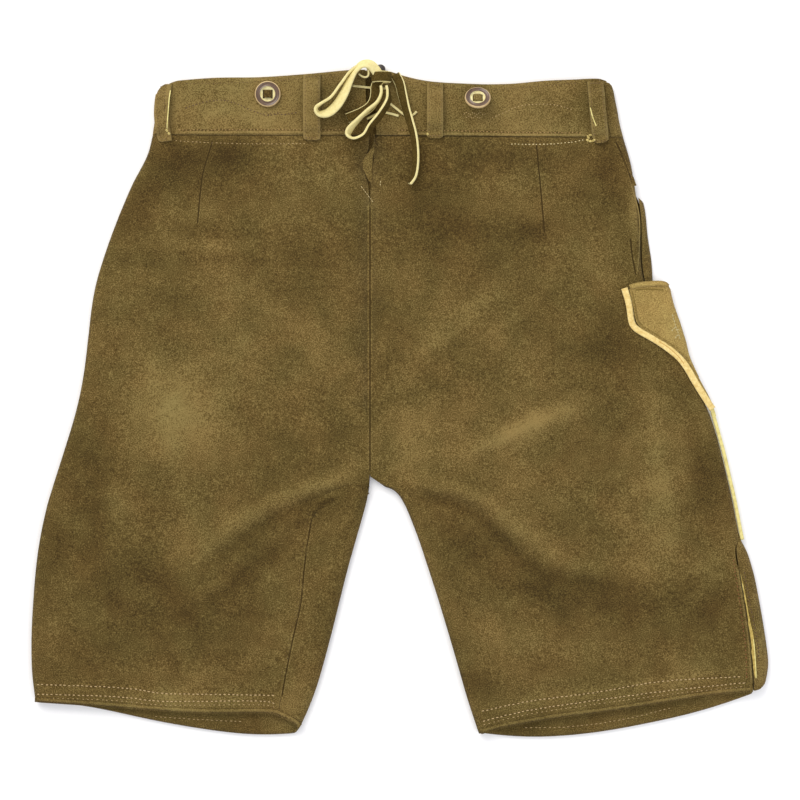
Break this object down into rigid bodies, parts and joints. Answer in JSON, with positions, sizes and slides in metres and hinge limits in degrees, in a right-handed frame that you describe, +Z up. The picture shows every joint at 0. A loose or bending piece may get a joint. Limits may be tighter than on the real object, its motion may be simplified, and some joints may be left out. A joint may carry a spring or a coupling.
{
  "type": "leather shorts",
  "caption": "Short suede lederhosen laid out flat on their front, with belt loops, dished braces' buttons, a knife pocket on the side and a thong tied over the gap at the back of the waist.",
  "frame": {"origin": "the middle of the box round the garment without its lace, on the surface that it lies on", "axes": "+X runs across the seat towards the leg with the knife pocket and is the longest extent, +Y runs up the body to the waist, +Z is up out of the surface, from the front panels below to the back panels on top"},
  "size_m": [0.6651, 0.6094, 0.0238],
  "materials": {
    "suede": "napped suede, olive brown",
    "pale_suede": "napped suede, paler",
    "thong": "cut leather, undyed yellow",
    "horn": "polished horn",
    "stud": "smooth dark cap"
  },
  "bodies": {
    "root": {"back_left": "suede", "back_right": "suede", "front_left": "suede", "front_right": "suede", "front_flap": "suede", "flap_button_left": "horn", "flap_button_right": "horn", "waistband_back_left": "suede", "waistband_back_right": "suede", "waistband_front": "suede", "back_gusset": "suede", "belt_loop_side_left": "suede", "belt_loop_centre_left": "suede", "belt_loop_centre_right": "suede", "belt_loop_side_right": "suede", "brace_button_left": "horn", "brace_button_right": "horn", "button_tab_left": "suede", "button_tab_right": "suede", "waist_stud": "stud", "knife_pocket": "pale_suede", "knife_pocket_piping": "thong", "side_pocket_facing": "suede", "side_seam_welt": "thong", "lace_knot": "thong", "lace_loop_upper": "thong", "lace_loop_lower": "thong", "lace_tail_left": "thong", "lace_tail_right": "thong", "lace_cross_1": "thong", "lace_cross_2": "thong", "lace_cross_3": "thong"}
  },
  "joints": []
}
